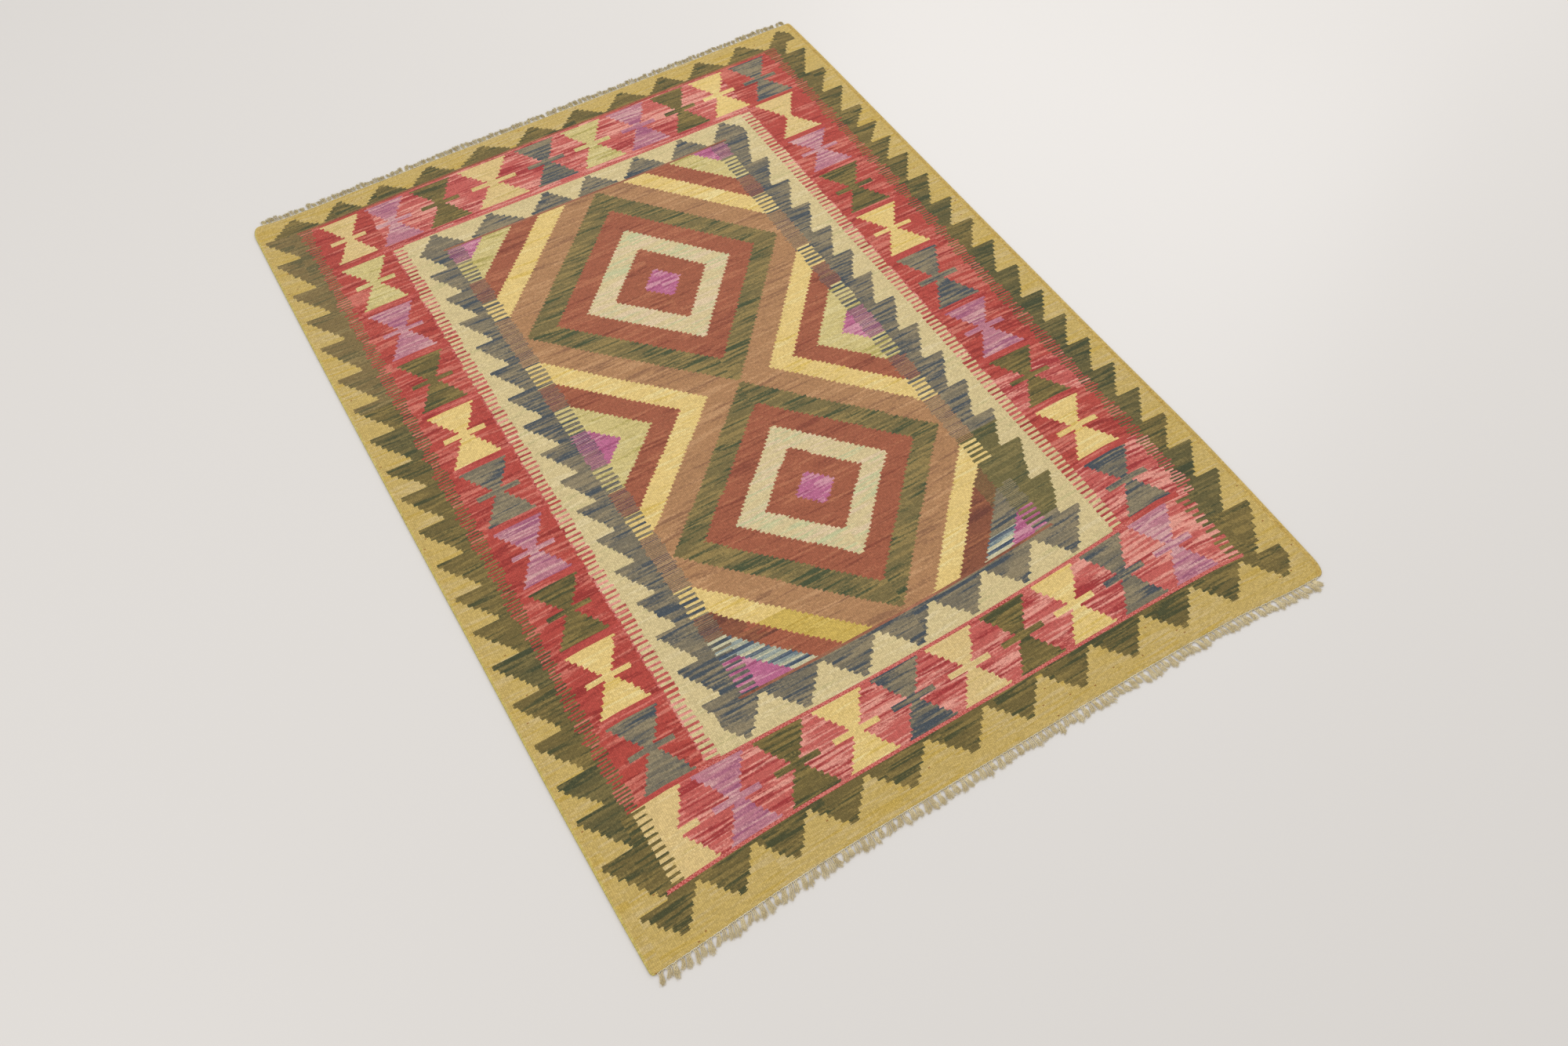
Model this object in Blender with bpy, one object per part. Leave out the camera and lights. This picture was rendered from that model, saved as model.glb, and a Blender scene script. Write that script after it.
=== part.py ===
"""Flat-woven kilim rug, lying flat: one woven cloth and the cut warp fringe at each end.

Units are metres, +Z up. +X runs across the width from the left selvedge to the right one,
+Y from the near end to the far end. The origin is on the floor under the rug's middle.
"""
import math
import random

import bmesh
import bpy

# ---------------------------------------------------------------- driving sizes
CLOTH_WIDTH = 1.054         # between the widest points of the two selvedges
CLOTH_LENGTH = 1.410        # between the farthest points of the two woven ends
CLOTH_THICKNESS = 0.0026

# How far the cloth's sides lie inside its widest lines, row by row along the length
SIDE_ROWS = [
    # along (0 near, 1 far), left inset, right inset
    (0.00, 0.0110, 0.0060),
    (0.05, 0.0092, 0.0040),
    (0.12, 0.0074, 0.0014),
    (0.20, 0.0056, 0.0000),
    (0.35, 0.0042, 0.0034),
    (0.50, 0.0022, 0.0052),
    (0.65, 0.0010, 0.0068),
    (0.78, 0.0000, 0.0080),
    (0.92, 0.0002, 0.0092),
    (1.00, 0.0010, 0.0118),
]

# How far the woven ends lie inside their farthest lines, column by column across the width
END_ROWS = [
    # across (0 left, 1 right), near inset, far inset
    (0.00, 0.0000, 0.0050),
    (0.05, 0.0024, 0.0092),
    (0.17, 0.0102, 0.0078),
    (0.28, 0.0136, 0.0062),
    (0.50, 0.0140, 0.0048),
    (0.72, 0.0136, 0.0030),
    (0.86, 0.0100, 0.0014),
    (0.95, 0.0026, 0.0000),
    (1.00, 0.0006, 0.0002),
]

# Rounding of each corner: how far it runs across and along the cloth
CORNERS = {
    # (side, end): (across, along)
    ("left", "near"): (0.004, 0.006),
    ("right", "near"): (0.011, 0.026),
    ("left", "far"): (0.012, 0.026),
    ("right", "far"): (0.004, 0.008),
}

# Corded selvedge: height of the cloth's face at each distance in from the side
SELVEDGE_ROWS = [
    # distance in, height of the face
    (0.0000, 0.0015),
    (0.0012, 0.0028),
    (0.0036, 0.0032),
    (0.0060, 0.0028),
    (0.0074, 0.0021),
    (0.0092, CLOTH_THICKNESS),
]

END_STATIONS = (0.0, 0.0015, 0.004, 0.009, 0.018)   # fractions of the length, at a corner
LENGTH_STEPS = 18           # even rows between the corner stations
WIDTH_STEPS = 18            # even columns between the selvedges

# ---------------------------------------------------------------- fringe sizes
PIECE_GAP = 0.0004          # between the cloth's end and the fringe's root strip
STRIP_DEPTH = 0.0032        # root strip, along the rug's length
STRIP_HEIGHT = 0.0018
TIP_HEIGHT = 0.0009
STRIP_INSET = 0.0030        # root strip's ends, in from the cloth's corners
TUFT_CLEARANCE = 0.0007     # smallest gap between two neighbouring tufts
TUFT_STATIONS = 3           # steps from a tuft's root to its tip
CLEARANCE_STATIONS = 6      # steps along two neighbouring tufts at which their gap is measured
CURL = 0.14                 # widest bend of a tuft, as sideways travel over its length

# Each end's own fringe: a fixed seed, the narrowest and widest root of a tuft, the shortest and
# longest tuft, its widest chance lean, how much the tufts lean outwards towards the corners, and
# the least and most by which a tuft fans out from root to tip
FRINGES = {
    "near": {
        "seed": 11, "width": (0.0042, 0.0064), "length": (0.0095, 0.0160),
        "lean": 0.20, "outward": 0.28, "fan": (0.35, 0.95),
    },
    "far": {
        "seed": 23, "width": (0.0038, 0.0062), "length": (0.0080, 0.0135),
        "lean": 0.26, "outward": 0.16, "fan": (0.05, 0.55),
    },
}
GAP_ROWS = [
    # share of the gaps, narrowest, widest
    (0.72, 0.0007, 0.0014),
    (0.20, 0.0014, 0.0028),
    (0.08, 0.0030, 0.0060),
]

# ---------------------------------------------------------------- finishes
FINISHES = {
    # material: colour, roughness
    "woven_wool": ((0.46, 0.33, 0.14, 1.0), 0.92),
    "warp_yarn": ((0.62, 0.52, 0.34, 1.0), 0.90),
}


def through_rows(rows, column, at):
    """Value of one column of a table at any place, on a smooth curve through its rows."""
    last = len(rows) - 1
    low = max(i for i in range(last) if rows[i][0] <= at or i == 0)

    def slope(i):
        before, after = max(i - 1, 0), min(i + 1, last)
        return (rows[after][column] - rows[before][column]) / (rows[after][0] - rows[before][0])

    span = rows[low + 1][0] - rows[low][0]
    t = (at - rows[low][0]) / span
    rise = rows[low + 1][column] - rows[low][column]
    enter = slope(low) * span
    leave = slope(low + 1) * span
    bend = (3 * rise - 2 * enter - leave) * t ** 2 + (enter + leave - 2 * rise) * t ** 3
    return max(0.0, rows[low][column] + enter * t + bend)


def corner_cut(side, along):
    """How far a rounded corner draws the side in: a quarter ellipse near either end."""
    cut = 0.0
    for end, distance in (("near", along), ("far", 1.0 - along)):
        across_reach, along_reach = CORNERS[(side, end)]
        left_over = 1.0 - distance * CLOTH_LENGTH / along_reach
        if left_over > 0.0:
            cut = across_reach * (1.0 - math.sqrt(1.0 - left_over ** 2))
    return cut


def side_x(side, along):
    inset = through_rows(SIDE_ROWS, 1 if side == "left" else 2, along) + corner_cut(side, along)
    reach = CLOTH_WIDTH / 2 - inset
    return -reach if side == "left" else reach


def end_y(end, across):
    reach = CLOTH_LENGTH / 2 - through_rows(END_ROWS, 1 if end == "near" else 2, across)
    return -reach if end == "near" else reach


def cloth_point(across, along):
    """Plan position of a woven point: straight lines between opposite edges."""
    left, right = side_x("left", along), side_x("right", along)
    near, far = end_y("near", across), end_y("far", across)
    return left + (right - left) * across, near + (far - near) * along


def width_fractions():
    """Columns of the cloth: the selvedge's own rows at both sides, even steps between."""
    edge = [distance / CLOTH_WIDTH for distance, _ in SELVEDGE_ROWS]
    first, last = edge[-1], 1.0 - edge[-1]
    middle = [first + (last - first) * i / WIDTH_STEPS for i in range(1, WIDTH_STEPS)]
    return edge + middle + [1.0 - fraction for fraction in reversed(edge)]


def length_fractions():
    """Rows of the cloth: close together at the rounded corners, even steps between."""
    first, last = END_STATIONS[-1], 1.0 - END_STATIONS[-1]
    middle = [first + (last - first) * i / LENGTH_STEPS for i in range(1, LENGTH_STEPS)]
    return list(END_STATIONS) + middle + [1.0 - fraction for fraction in reversed(END_STATIONS)]


def face_height(column, columns):
    """Height of the woven face in one column: corded at the selvedges, even between."""
    from_side = min(column, columns - 1 - column)
    return SELVEDGE_ROWS[min(from_side, len(SELVEDGE_ROWS) - 1)][1]


def finish(name):
    colour, roughness = FINISHES[name]
    material = bpy.data.materials.new(name)
    material.use_nodes = True
    shader = material.node_tree.nodes["Principled BSDF"]
    shader.inputs["Base Color"].default_value = colour
    shader.inputs["Roughness"].default_value = roughness
    shader.inputs["Metallic"].default_value = 0.0
    return material


def make_object(name, shape, material):
    """Turn a finished bmesh into a named object with one material."""
    bmesh.ops.recalc_face_normals(shape, faces=shape.faces)
    mesh = bpy.data.meshes.new(name)
    shape.to_mesh(mesh)
    shape.free()
    mesh.materials.append(material)
    thing = bpy.data.objects.new(name, mesh)
    bpy.context.scene.collection.objects.link(thing)
    return thing


def woven_cloth():
    """One sheet: a grid laid out inside the cloth's outline, thickened, its sides corded."""
    across, along = width_fractions(), length_fractions()
    shape = bmesh.new()
    bmesh.ops.create_grid(shape, x_segments=len(across) - 1, y_segments=len(along) - 1, size=0.5)
    place = {}
    for vertex in shape.verts:
        column = round((vertex.co.x + 0.5) * (len(across) - 1))
        row = round((vertex.co.y + 0.5) * (len(along) - 1))
        place[vertex] = column
        vertex.co.x, vertex.co.y = cloth_point(across[column], along[row])
    under = list(shape.faces)
    raised = bmesh.ops.extrude_face_region(shape, geom=under, use_keep_orig=True)["geom"]
    columns_at = {(v.co.x, v.co.y): column for v, column in place.items()}
    for vertex in (part for part in raised if isinstance(part, bmesh.types.BMVert)):
        column = columns_at[(vertex.co.x, vertex.co.y)]
        vertex.co.z = face_height(column, len(across))
    return shape


def end_line(end):
    """Plan points of one woven end, from left to right, as the cloth's own columns give it."""
    along = 0.0 if end == "near" else 1.0
    return [cloth_point(across, along) for across in width_fractions()]


def on_line(line, x):
    """Height in plan of a run of points at x, on the straight stretch that holds it."""
    for (x0, y0), (x1, y1) in zip(line, line[1:]):
        if x <= x1:
            return y0 + (y1 - y0) * (x - x0) / (x1 - x0)
    return line[-1][1]


def pick_gap(draw):
    share = draw.random()
    for part, low, high in GAP_ROWS:
        if share < part:
            return draw.uniform(low, high)
        share -= part
    return draw.uniform(low, high)


def edges_at(tuft, distance):
    """Left and right edge of a tuft, in x, at a distance out from the root strip."""
    share = min(distance / tuft["length"], 1.0)
    shift = tuft["lean"] * distance + tuft["curl"] * distance * share
    half = tuft["width"] / 2 * (1.0 + tuft["fan"] * share)
    return tuft["middle"] + shift - half, tuft["middle"] + shift + half


def crowding(tuft, after):
    """How far two neighbouring tufts would come too close, at the worst distance out."""
    shorter = min(tuft["length"], after["length"])
    stations = [shorter * i / CLEARANCE_STATIONS for i in range(CLEARANCE_STATIONS + 1)]
    room = min(edges_at(after, d)[0] - edges_at(tuft, d)[1] for d in stations)
    return max(0.0, TUFT_CLEARANCE - room)


def lay_tufts(end, first, last):
    """Tufts from left to right, each moved along until it clears the one before."""
    sizes = FRINGES[end]
    draw = random.Random(sizes["seed"])
    tufts = []
    start = first
    while True:
        width = draw.uniform(*sizes["width"])
        outward = (2.0 * (start - first) / (last - first) - 1.0) * sizes["outward"]
        tuft = {
            "width": width,
            "middle": start + pick_gap(draw) + width / 2,
            "length": draw.uniform(*sizes["length"]),
            "lean": outward + draw.uniform(-sizes["lean"], sizes["lean"]),
            "curl": draw.uniform(-CURL, CURL),
            "fan": draw.uniform(*sizes["fan"]),
        }
        if tufts:
            tuft["middle"] += crowding(tufts[-1], tuft)
        start = tuft["middle"] + width / 2
        if start > last - TUFT_CLEARANCE:
            return tufts
        tufts.append(tuft)


def fringe(end):
    """Root strip along one woven end, with each tuft drawn out of the strip's outer face."""
    out = -1.0 if end == "near" else 1.0
    line = end_line(end)
    first, last = line[0][0] + STRIP_INSET, line[-1][0] - STRIP_INSET
    tufts = lay_tufts(end, first, last)
    stations = [first] + [x for tuft in tufts for x in edges_at(tuft, 0.0)] + [last]

    shape = bmesh.new()
    rings = []
    for x in stations:
        inner = on_line(line, x) + out * PIECE_GAP
        outer = inner + out * STRIP_DEPTH
        corners = ((inner, 0.0), (outer, 0.0), (outer, STRIP_HEIGHT), (inner, STRIP_HEIGHT))
        rings.append([shape.verts.new((x, y, z)) for y, z in corners])
    outer_faces = []
    for one, two in zip(rings, rings[1:]):
        for i in range(4):
            j = (i + 1) % 4
            face = shape.faces.new((one[i], one[j], two[j], two[i]))
            if i == 1:
                outer_faces.append(face)
    shape.faces.new(rings[0])
    shape.faces.new(list(reversed(rings[-1])))

    # every second stretch of the strip bears a tuft
    for tuft, root in zip(tufts, outer_faces[1::2]):
        draw_out(shape, tuft, root, out)
    return shape


def draw_out(shape, tuft, root, out):
    """Extrude a tuft from its root face in steps, keeping its underside on the floor."""
    root_y = sum(vertex.co.y for vertex in root.verts) / 4
    face = root
    for step in range(1, TUFT_STATIONS + 1):
        share = step / TUFT_STATIONS
        distance = tuft["length"] * share
        left, right = edges_at(tuft, distance)
        height = STRIP_HEIGHT + (TIP_HEIGHT - STRIP_HEIGHT) * share
        face = bmesh.ops.extrude_discrete_faces(shape, faces=[face])["faces"][0]
        centre = sum(vertex.co.x for vertex in face.verts) / 4
        for vertex in face.verts:
            vertex.co.x = left if vertex.co.x < centre else right
            vertex.co.y = root_y + out * distance
            vertex.co.z = height if vertex.co.z > 0.0 else 0.0


def centre_on_floor(things):
    """Move the meshes so that the box around all of them has its middle over the origin."""
    points = [vertex.co for thing in things for vertex in thing.data.vertices]
    middle_x = (min(p.x for p in points) + max(p.x for p in points)) / 2
    middle_y = (min(p.y for p in points) + max(p.y for p in points)) / 2
    for point in points:
        point.x -= middle_x
        point.y -= middle_y


def main():
    for thing in list(bpy.data.objects):
        bpy.data.objects.remove(thing, do_unlink=True)
    wool, warp = finish("woven_wool"), finish("warp_yarn")
    rug = [
        make_object("rug_cloth", woven_cloth(), wool),
        make_object("fringe_near", fringe("near"), warp),
        make_object("fringe_far", fringe("far"), warp),
    ]
    centre_on_floor(rug)


main()
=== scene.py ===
# Kilim rug: a flat-woven wool cloth with corded selvedges, and a cut warp fringe at each end.
# Metres, +X across the rug, +Y from its near end to its far end, +Z up.
import math
import random

import bpy
import numpy as np
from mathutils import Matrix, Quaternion, Vector


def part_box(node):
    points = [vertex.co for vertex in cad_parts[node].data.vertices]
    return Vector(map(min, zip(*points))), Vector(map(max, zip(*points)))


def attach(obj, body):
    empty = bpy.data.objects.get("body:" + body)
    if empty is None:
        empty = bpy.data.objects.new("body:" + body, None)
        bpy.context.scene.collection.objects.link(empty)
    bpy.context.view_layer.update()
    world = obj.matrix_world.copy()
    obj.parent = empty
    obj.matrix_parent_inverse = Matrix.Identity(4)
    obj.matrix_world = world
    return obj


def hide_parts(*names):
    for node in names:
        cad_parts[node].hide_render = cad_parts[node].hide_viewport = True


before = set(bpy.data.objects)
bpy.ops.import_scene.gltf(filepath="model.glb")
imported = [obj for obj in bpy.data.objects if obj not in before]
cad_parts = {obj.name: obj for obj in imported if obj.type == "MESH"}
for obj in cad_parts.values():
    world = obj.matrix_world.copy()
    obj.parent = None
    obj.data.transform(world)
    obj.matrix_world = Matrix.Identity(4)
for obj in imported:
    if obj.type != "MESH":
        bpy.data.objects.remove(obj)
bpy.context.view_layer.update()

mm = 0.001
rampSteps = 32      # places in a colour ramp: one for each yarn or listed value


class Wire:
    # One output socket. Arithmetic on it adds Math nodes, and node() adds any other kind.
    def __init__(self, tree, socket):
        self.tree = tree
        self.socket = socket

    def node(self, kind, settings=None, sockets=None, output=0):
        # Adds a node: its settings first, then the value or link of each socket.
        made = self.tree.nodes.new("ShaderNode" + kind)
        for name, value in (settings or {}).items():
            if name == "stops":
                setStops(made.color_ramp, value)
            else:
                setattr(made, name, value)
        for name, value in (sockets or {}).items():
            if isinstance(value, Wire):
                self.tree.links.new(value.socket, made.inputs[name])
            else:
                made.inputs[name].default_value = value
        return Wire(self.tree, made.outputs[output])

    def math(self, operation, *values):
        return self.node("Math", {"operation": operation}, dict(enumerate(values)))

    def __add__(self, other):
        return self.math("ADD", self, other)

    def __sub__(self, other):
        return self.math("SUBTRACT", self, other)

    def __mul__(self, other):
        return self.math("MULTIPLY", self, other)

    def __truediv__(self, other):
        return self.math("DIVIDE", self, other)

    def __mod__(self, other):
        return self.math("FLOORED_MODULO", self, other)

    def __rsub__(self, other):
        return self.math("SUBTRACT", other, self)

    __radd__, __rmul__ = __add__, __mul__

    def __gt__(self, other):
        return self.math("GREATER_THAN", self, other)

    def __lt__(self, other):
        return self.math("LESS_THAN", self, other)

    def __abs__(self):
        return self.math("ABSOLUTE", self)

    def floor(self):
        return self.math("FLOOR", self)

    def least(self, other):
        return self.math("MINIMUM", self, other)

    def most(self, other):
        return self.math("MAXIMUM", self, other)

    def hump(self):
        # 0 at each whole number and 1 halfway between two, as a cosine
        return self.math("COSINE", self * (2 * math.pi)) * -0.5 + 0.5

    def between(self, low, high):
        # 0 at low, 1 at high, smooth and clamped
        sockets = {"Value": self, "From Min": low, "From Max": high}
        return self.node("MapRange", {"interpolation_type": "SMOOTHSTEP"}, sockets)

    def choose(self, inside, outside):
        # one number where this mask is 1, the other where it is 0
        return self.node("Mix", {"data_type": "FLOAT"}, {0: self, 2: outside, 3: inside})

    def tint(self, inside, outside):
        # the same for colours
        return self.node("Mix", {"data_type": "RGBA"}, {0: self, 6: outside, 7: inside}, output=2)

    def vector(self, y=0.0, z=0.0):
        return self.node("CombineXYZ", sockets={"X": self, "Y": y, "Z": z})

    def speck(self):
        # a random number from 0 to 1 for each whole value
        return self.node("TexWhiteNoise", {"noise_dimensions": "1D"}, {"W": self})


def setStops(ramp, stops):
    # A constant colour ramp: each stop holds for one step.
    ramp.interpolation = "CONSTANT"
    while len(ramp.elements) < len(stops):
        ramp.elements.new(1.0)
    for i, colour in enumerate(stops):
        ramp.elements[i].position = i / rampSteps
        ramp.elements[i].color = (*colour, 1.0)


def linear(colour):
    # Display values from 0 to 255 as linear light: the power curve of sRGB, straight near black.
    parts = [part / 255 for part in colour]
    return [part / 12.92 if part <= 0.04045 else ((part + 0.055) / 1.055) ** 2.4 for part in parts]


def shade(colour):
    # The same, as a colour socket takes it.
    return (*linear(colour), 1.0)


def newMaterial(name, finish):
    # A Principled material with these socket values. Gives the material, its shader node, and a
    # wire to start from.
    material = bpy.data.materials.new(name)
    material.use_nodes = True
    tree = material.node_tree
    shader = tree.nodes["Principled BSDF"]
    for socket, value in finish.items():
        shader.inputs[socket].default_value = value
    return material, shader, Wire(tree, shader.outputs[0])


def feed(wire, shader, name):
    # Links a wire to one of the shader's sockets.
    wire.tree.links.new(wire.socket, shader.inputs[name])


# Each dye lot: its usual shade, its lighter and its darker streaks as display values, and how
# much of it is streaked, from 0 for a level dye to 1.
yarns = {
    "mustard": ((203, 175, 104), (207, 182, 124), (200, 169, 86), 0.7),
    "olive": ((118, 103, 61), (142, 122, 71), (80, 81, 53), 1.0),
    "red": ((184, 77, 67), (211, 122, 106), (157, 58, 53), 0.8),
    "redLine": ((188, 80, 72), (214, 122, 108), (160, 56, 54), 0.5),
    "beige": ((218, 198, 147), (226, 208, 162), (204, 190, 138), 0.3),
    "slate": ((126, 117, 98), (150, 136, 108), (77, 85, 92), 1.2),
    "purple": ((192, 127, 140), (214, 166, 164), (166, 96, 124), 1.0),
    "rust": ((166, 97, 72), (182, 114, 84), (142, 78, 60), 0.5),
    "ringBeige": ((220, 200, 152), (228, 204, 168), (202, 202, 156), 0.9),
    "fieldOlive": ((126, 112, 72), (154, 132, 82), (78, 86, 60), 1.0),
    "tan": ((180, 134, 94), (196, 150, 108), (154, 112, 82), 0.6),
    "yellow": ((232, 202, 130), (238, 216, 152), (222, 190, 102), 0.4),
    "ochre": ((210, 180, 92), (220, 192, 106), (192, 160, 70), 0.5),
    "lime": ((212, 194, 130), (220, 204, 146), (182, 168, 96), 0.7),
    "magenta": ((190, 108, 143), (212, 152, 166), (168, 86, 122), 0.8),
    "cream": ((224, 195, 134), (230, 205, 150), (208, 182, 112), 0.3),
    "blueCream": ((206, 198, 162), (218, 210, 174), (164, 168, 150), 0.8),
    "paleBlue": ((150, 160, 154), (182, 186, 168), (112, 128, 136), 0.9),
    "navy": ((84, 96, 112), (112, 122, 128), (64, 78, 98), 0.9),
    "pinkRed": ((200, 100, 92), (232, 160, 144), (168, 62, 62), 1.0),
    "darkGreen": ((116, 107, 68), (136, 122, 77), (84, 88, 62), 0.9),
    "darkRust": ((142, 88, 66), (162, 104, 74), (116, 70, 58), 0.8),
    "clay": ((158, 104, 80), (174, 118, 92), (136, 84, 64), 0.6),
    "edgeOchre": ((200, 168, 92), (208, 178, 104), (190, 156, 78), 0.6),
    "edgeGreen": ((204, 184, 102), (210, 192, 118), (192, 170, 86), 0.5),
    "darkOlive": ((103, 95, 60), (126, 112, 69), (74, 78, 54), 1.0),
    "paleOlive": ((132, 112, 72), (148, 128, 84), (104, 97, 65), 0.8),
}
lots = {name: number for number, name in enumerate(yarns)}
combedYarns = ["yellow", "ochre", "lime", "magenta", "blueCream", "paleBlue", "navy"]
blueStripes = ["navy", "blueCream", "paleBlue", "navy", "blueCream", "paleBlue", "blueCream"]

# The pattern, in millimetres on the loom. The right half is woven a little narrower than the
# left one, so depths inside the red band are scaled there, and the field leans a little.
loom = {
    "width": 1046.0, "length": 1400.0, "warp": 2.6, "weft": 1.3,
    "rightScale": 0.955, "fieldLean": 0.0086, "fieldLeanFrom": 700,
    "toothInset": 2.0, "nearToothInset": 10.0, "triangleSteps": 6,
    # how far the end rows stand from an even spacing: at the left edge, then each change of it
    "farSway": [-3.0, (90, 240, 15), (320, 480, -22), (540, 640, -4), (700, 860, 12)],
    "nearSway": [0.0, (60, 300, 14), (300, 540, -14), (540, 1000, -3)],
    "innerFarSway": [0.0, (270, 450, -19), (455, 530, 11), (640, 800, 11)],
}

# Toothed bands. Each side has its own pitch, and its sway moves the teeth off an even spacing.
# At the near end the gaps between the teeth reach deeper.
outerTeeth = {
    "steps": 8, "uneven": 3.0, "deeper": 13.0, "deeperFrom": (50, 200),
    "darkAbove": {"left": 0.70, "right": 0.35}, "darkBelow": 900, "paleFrom": 930,
    "left": {"tip": 7.5, "root": 56, "pitch": 64.4, "sway": [
        -5.6, (75, 130, -12), (205, 250, 13), (400, 640, 14), (770, 815, 12), (985, 1090, -9),
        (1225, 1285, -16)]},
    "right": {"tip": 14.5, "root": 58, "pitch": 60.0, "sway": [
        -9.0, (70, 140, -11), (510, 600, 4), (625, 740, -10), (870, 930, -8), (1000, 1140, 33),
        (1270, 1320, -5)]},
    "near": {"tip": 22, "base": 70, "middle": 59, "pitch": 84.8, "blunt": 6.4, "stride": 6.3},
    "far": {"tip": 12, "base": 44, "middle": 60, "pitch": 86.3, "blunt": 6.4, "stride": 6.2},
}
innerTeeth = {
    "steps": 8, "uneven": 4.0, "deeper": 0.0, "deeperFrom": (50, 200),
    "left": {"tip": 212, "root": 249, "pitch": 58.5, "sway": [-29.0]},
    "right": {"tip": 212, "root": 249, "pitch": 65.7, "sway": [
        -57.5, (260, 400, -9), (760, 880, 9), (1110, 1184, -10)]},
    "near": {"tip": 194, "base": 240, "middle": 246.5, "pitch": 87.5, "blunt": 6.0, "stride": 6.4},
    "far": {"tip": 176, "base": 216, "middle": 252.9, "pitch": 90.7, "blunt": 6.0, "stride": 6.4},
    "green": (265, 440),
}

# Plain bands and the ways in which they mesh. A comb is: depth between its bars, depth in them,
# pitch, bar, and how uneven its bars are.
bands = {
    "leftEdge": 2.6, "rightEdge": (3.9, 5.2),
    "redNear": 75, "redFar": 45, "line": 5.2,
    "mixed": (63, 87, 5.2, 2.6, 8.0), "nearRightComb": (82, 104, 8.8, 4.2, 4.0),
    "blockComb": (71.5, 90.5, 9.0, 3.6, 2.6),
    "pinkRight": 500, "pinkBars": 181, "redCell": (305, 116),
    "beigeNear": 184, "beigeFar": 167, "beigeComb": (183, 203, 9.0, 4.2, 2.6), "beigeLineFrom": 169,
    "fieldNear": 246, "fieldFar": 216, "fieldComb": (288, 265, 9.0, 4.2, 2.6),
    "fieldMix": (288, 265, 2.6, 1.3, 4.0), "fieldLine": 4.0, "fieldLineFrom": 259,
}

# Hourglass motifs: a row along each end and a column up each side.
motifs = {
    "waist": 7, "half": 34, "height": 52.5, "stepTall": 8.0, "bar": 4.4, "barHalf": 33.0,
    "dividerFrom": 91, "rowPatches": 20.0, "rightPatches": 40.0,
    "near": {"start": 105.0, "pitch": 87.3, "waist": 132, "names": [
        "cream", "purple", "olive", "yellow", "slate", "cream", "olive", "yellow", "slate", "purple"]},
    "far": {"start": 133, "pitch": 86.6, "waist": 1293, "names": [
        "cream", "purple", "olive", "cream", "slate", "lime", "purple", "olive", "yellow", "slate"]},
    "columnSide": 133.5,
    "left": {"pitch": 117.2, "sway": [-243.0, (380, 620, 9)], "names": [
        "slate", "yellow", "olive", "purple", "slate", "yellow", "olive", "purple", "lime"]},
    "right": {"pitch": 116.6, "sway": [-246.5, (650, 830, -22), (1020, 1174, 22)], "names": [
        "slate", "yellow", "olive", "purple", "slate", "yellow", "olive", "purple", "cream"]},
}

# Diamonds: the yarn changes at shares of the way from the middle to the diamond's own points.
diamonds = {
    "split": 700, "step": 5.2, "axisNear": 517, "axisMove": 10, "axisFrom": 250,
    "near": {"centre": 477, "left": 229, "right": 214, "along": 224},
    "far": {"centre": 941, "left": 237, "right": 211, "along": 240},
    "core": "magenta",
    "rings": [(0.130, "rust"), (0.350, "ringBeige"), (0.555, "rust"), (0.775, "fieldOlive"), (0.987, "tan"),
              (1.230, "yellow"), (1.430, "rust"), (1.640, "lime")],
    "leftWider": (0.04, 0.10), "tip": 1.857, "tipNear": 302, "tipFar": 1143, "tipSplit": 36,
    "ochreBelow": 332, "blueBelow": 277, "blueStripe": 5.2, "greenMixSide": 312,
    "darkSide": 365, "darkUneven": 60, "darkPicks": 3.0,
}


def within(side, along, edge, nearEnd, farEnd):
    # Inside mask of a plain band: past its side edge and between its two ends.
    return (side > edge) * (along > nearEnd) * (loom["length"] - along > farEnd)


def combEdge(along, comb):
    # An edge that jumps between two depths, so that two yarns meet as the teeth of a comb.
    between, inBar, pitch, bar, uneven = comb
    jitter = (along / pitch).floor().speck() * uneven
    return ((along % pitch) < bar).choose(inBar - jitter, between + jitter)


def woven(mask, name, yarn):
    # This yarn where the mask is 1, and what was woven before elsewhere.
    return mask.choose(lots[name], yarn)


def listed(number, values):
    # The value listed for a whole number, from a constant colour ramp.
    place = (number + 0.5) / rampSteps
    return number.node("ValToRGB", {"stops": [[value] * 3 for value in values]}, {"Fac": place})


def listedShade(yarn, number):
    # The same for one of each yarn's three shades.
    stops = [linear(shades[number]) for shades in yarns.values()]
    return yarn.node("ValToRGB", {"stops": stops}, {"Fac": (yarn + 0.5) / rampSteps})


def namedYarn(number, names):
    # The same for a list of yarns: a ramp holds values up to 1, so they are shares of its steps.
    return listed(number, [lots[name] / rampSteps for name in names]) * rampSteps


def stripe(along, start, thickness):
    # Mask of one stripe.
    return (along > start) * (along < start + thickness)


def endStripes(along, near, far, thickness):
    # Mask of two stripes, at these distances from the near and the far end.
    return stripe(along, near, thickness).most(stripe(loom["length"] - along, far, thickness))


def everyOtherPick(along):
    # Mask of the odd picks.
    return (along % (loom["weft"] * 2)) < loom["weft"]


def swayed(here, sway):
    # The place in an evenly spaced row: each change of the sway eases in over its own stretch.
    place = here + sway[0]
    for start, end, change in sway[1:]:
        place = place + here.between(start, end) * change
    return place


def beat(along, side):
    # Repeats of one side's pattern up to a place.
    return swayed(along, side["sway"]) / side["pitch"]


def triangleEdge(across, row):
    # Depth of a row of triangles: it goes back one step for each stride from a middle line.
    # Before the first triangle it stays at the base.
    first = row["middle"] - row["pitch"] / 2
    fromMiddle = abs((across.most(first) - first) % row["pitch"] - row["pitch"] / 2)
    level = ((fromMiddle - row["blunt"]) / row["stride"] + 1.0).floor().most(0.0).least(loom["triangleSteps"])
    return row["tip"] + level * ((row["base"] - row["tip"]) / loom["triangleSteps"])


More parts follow.
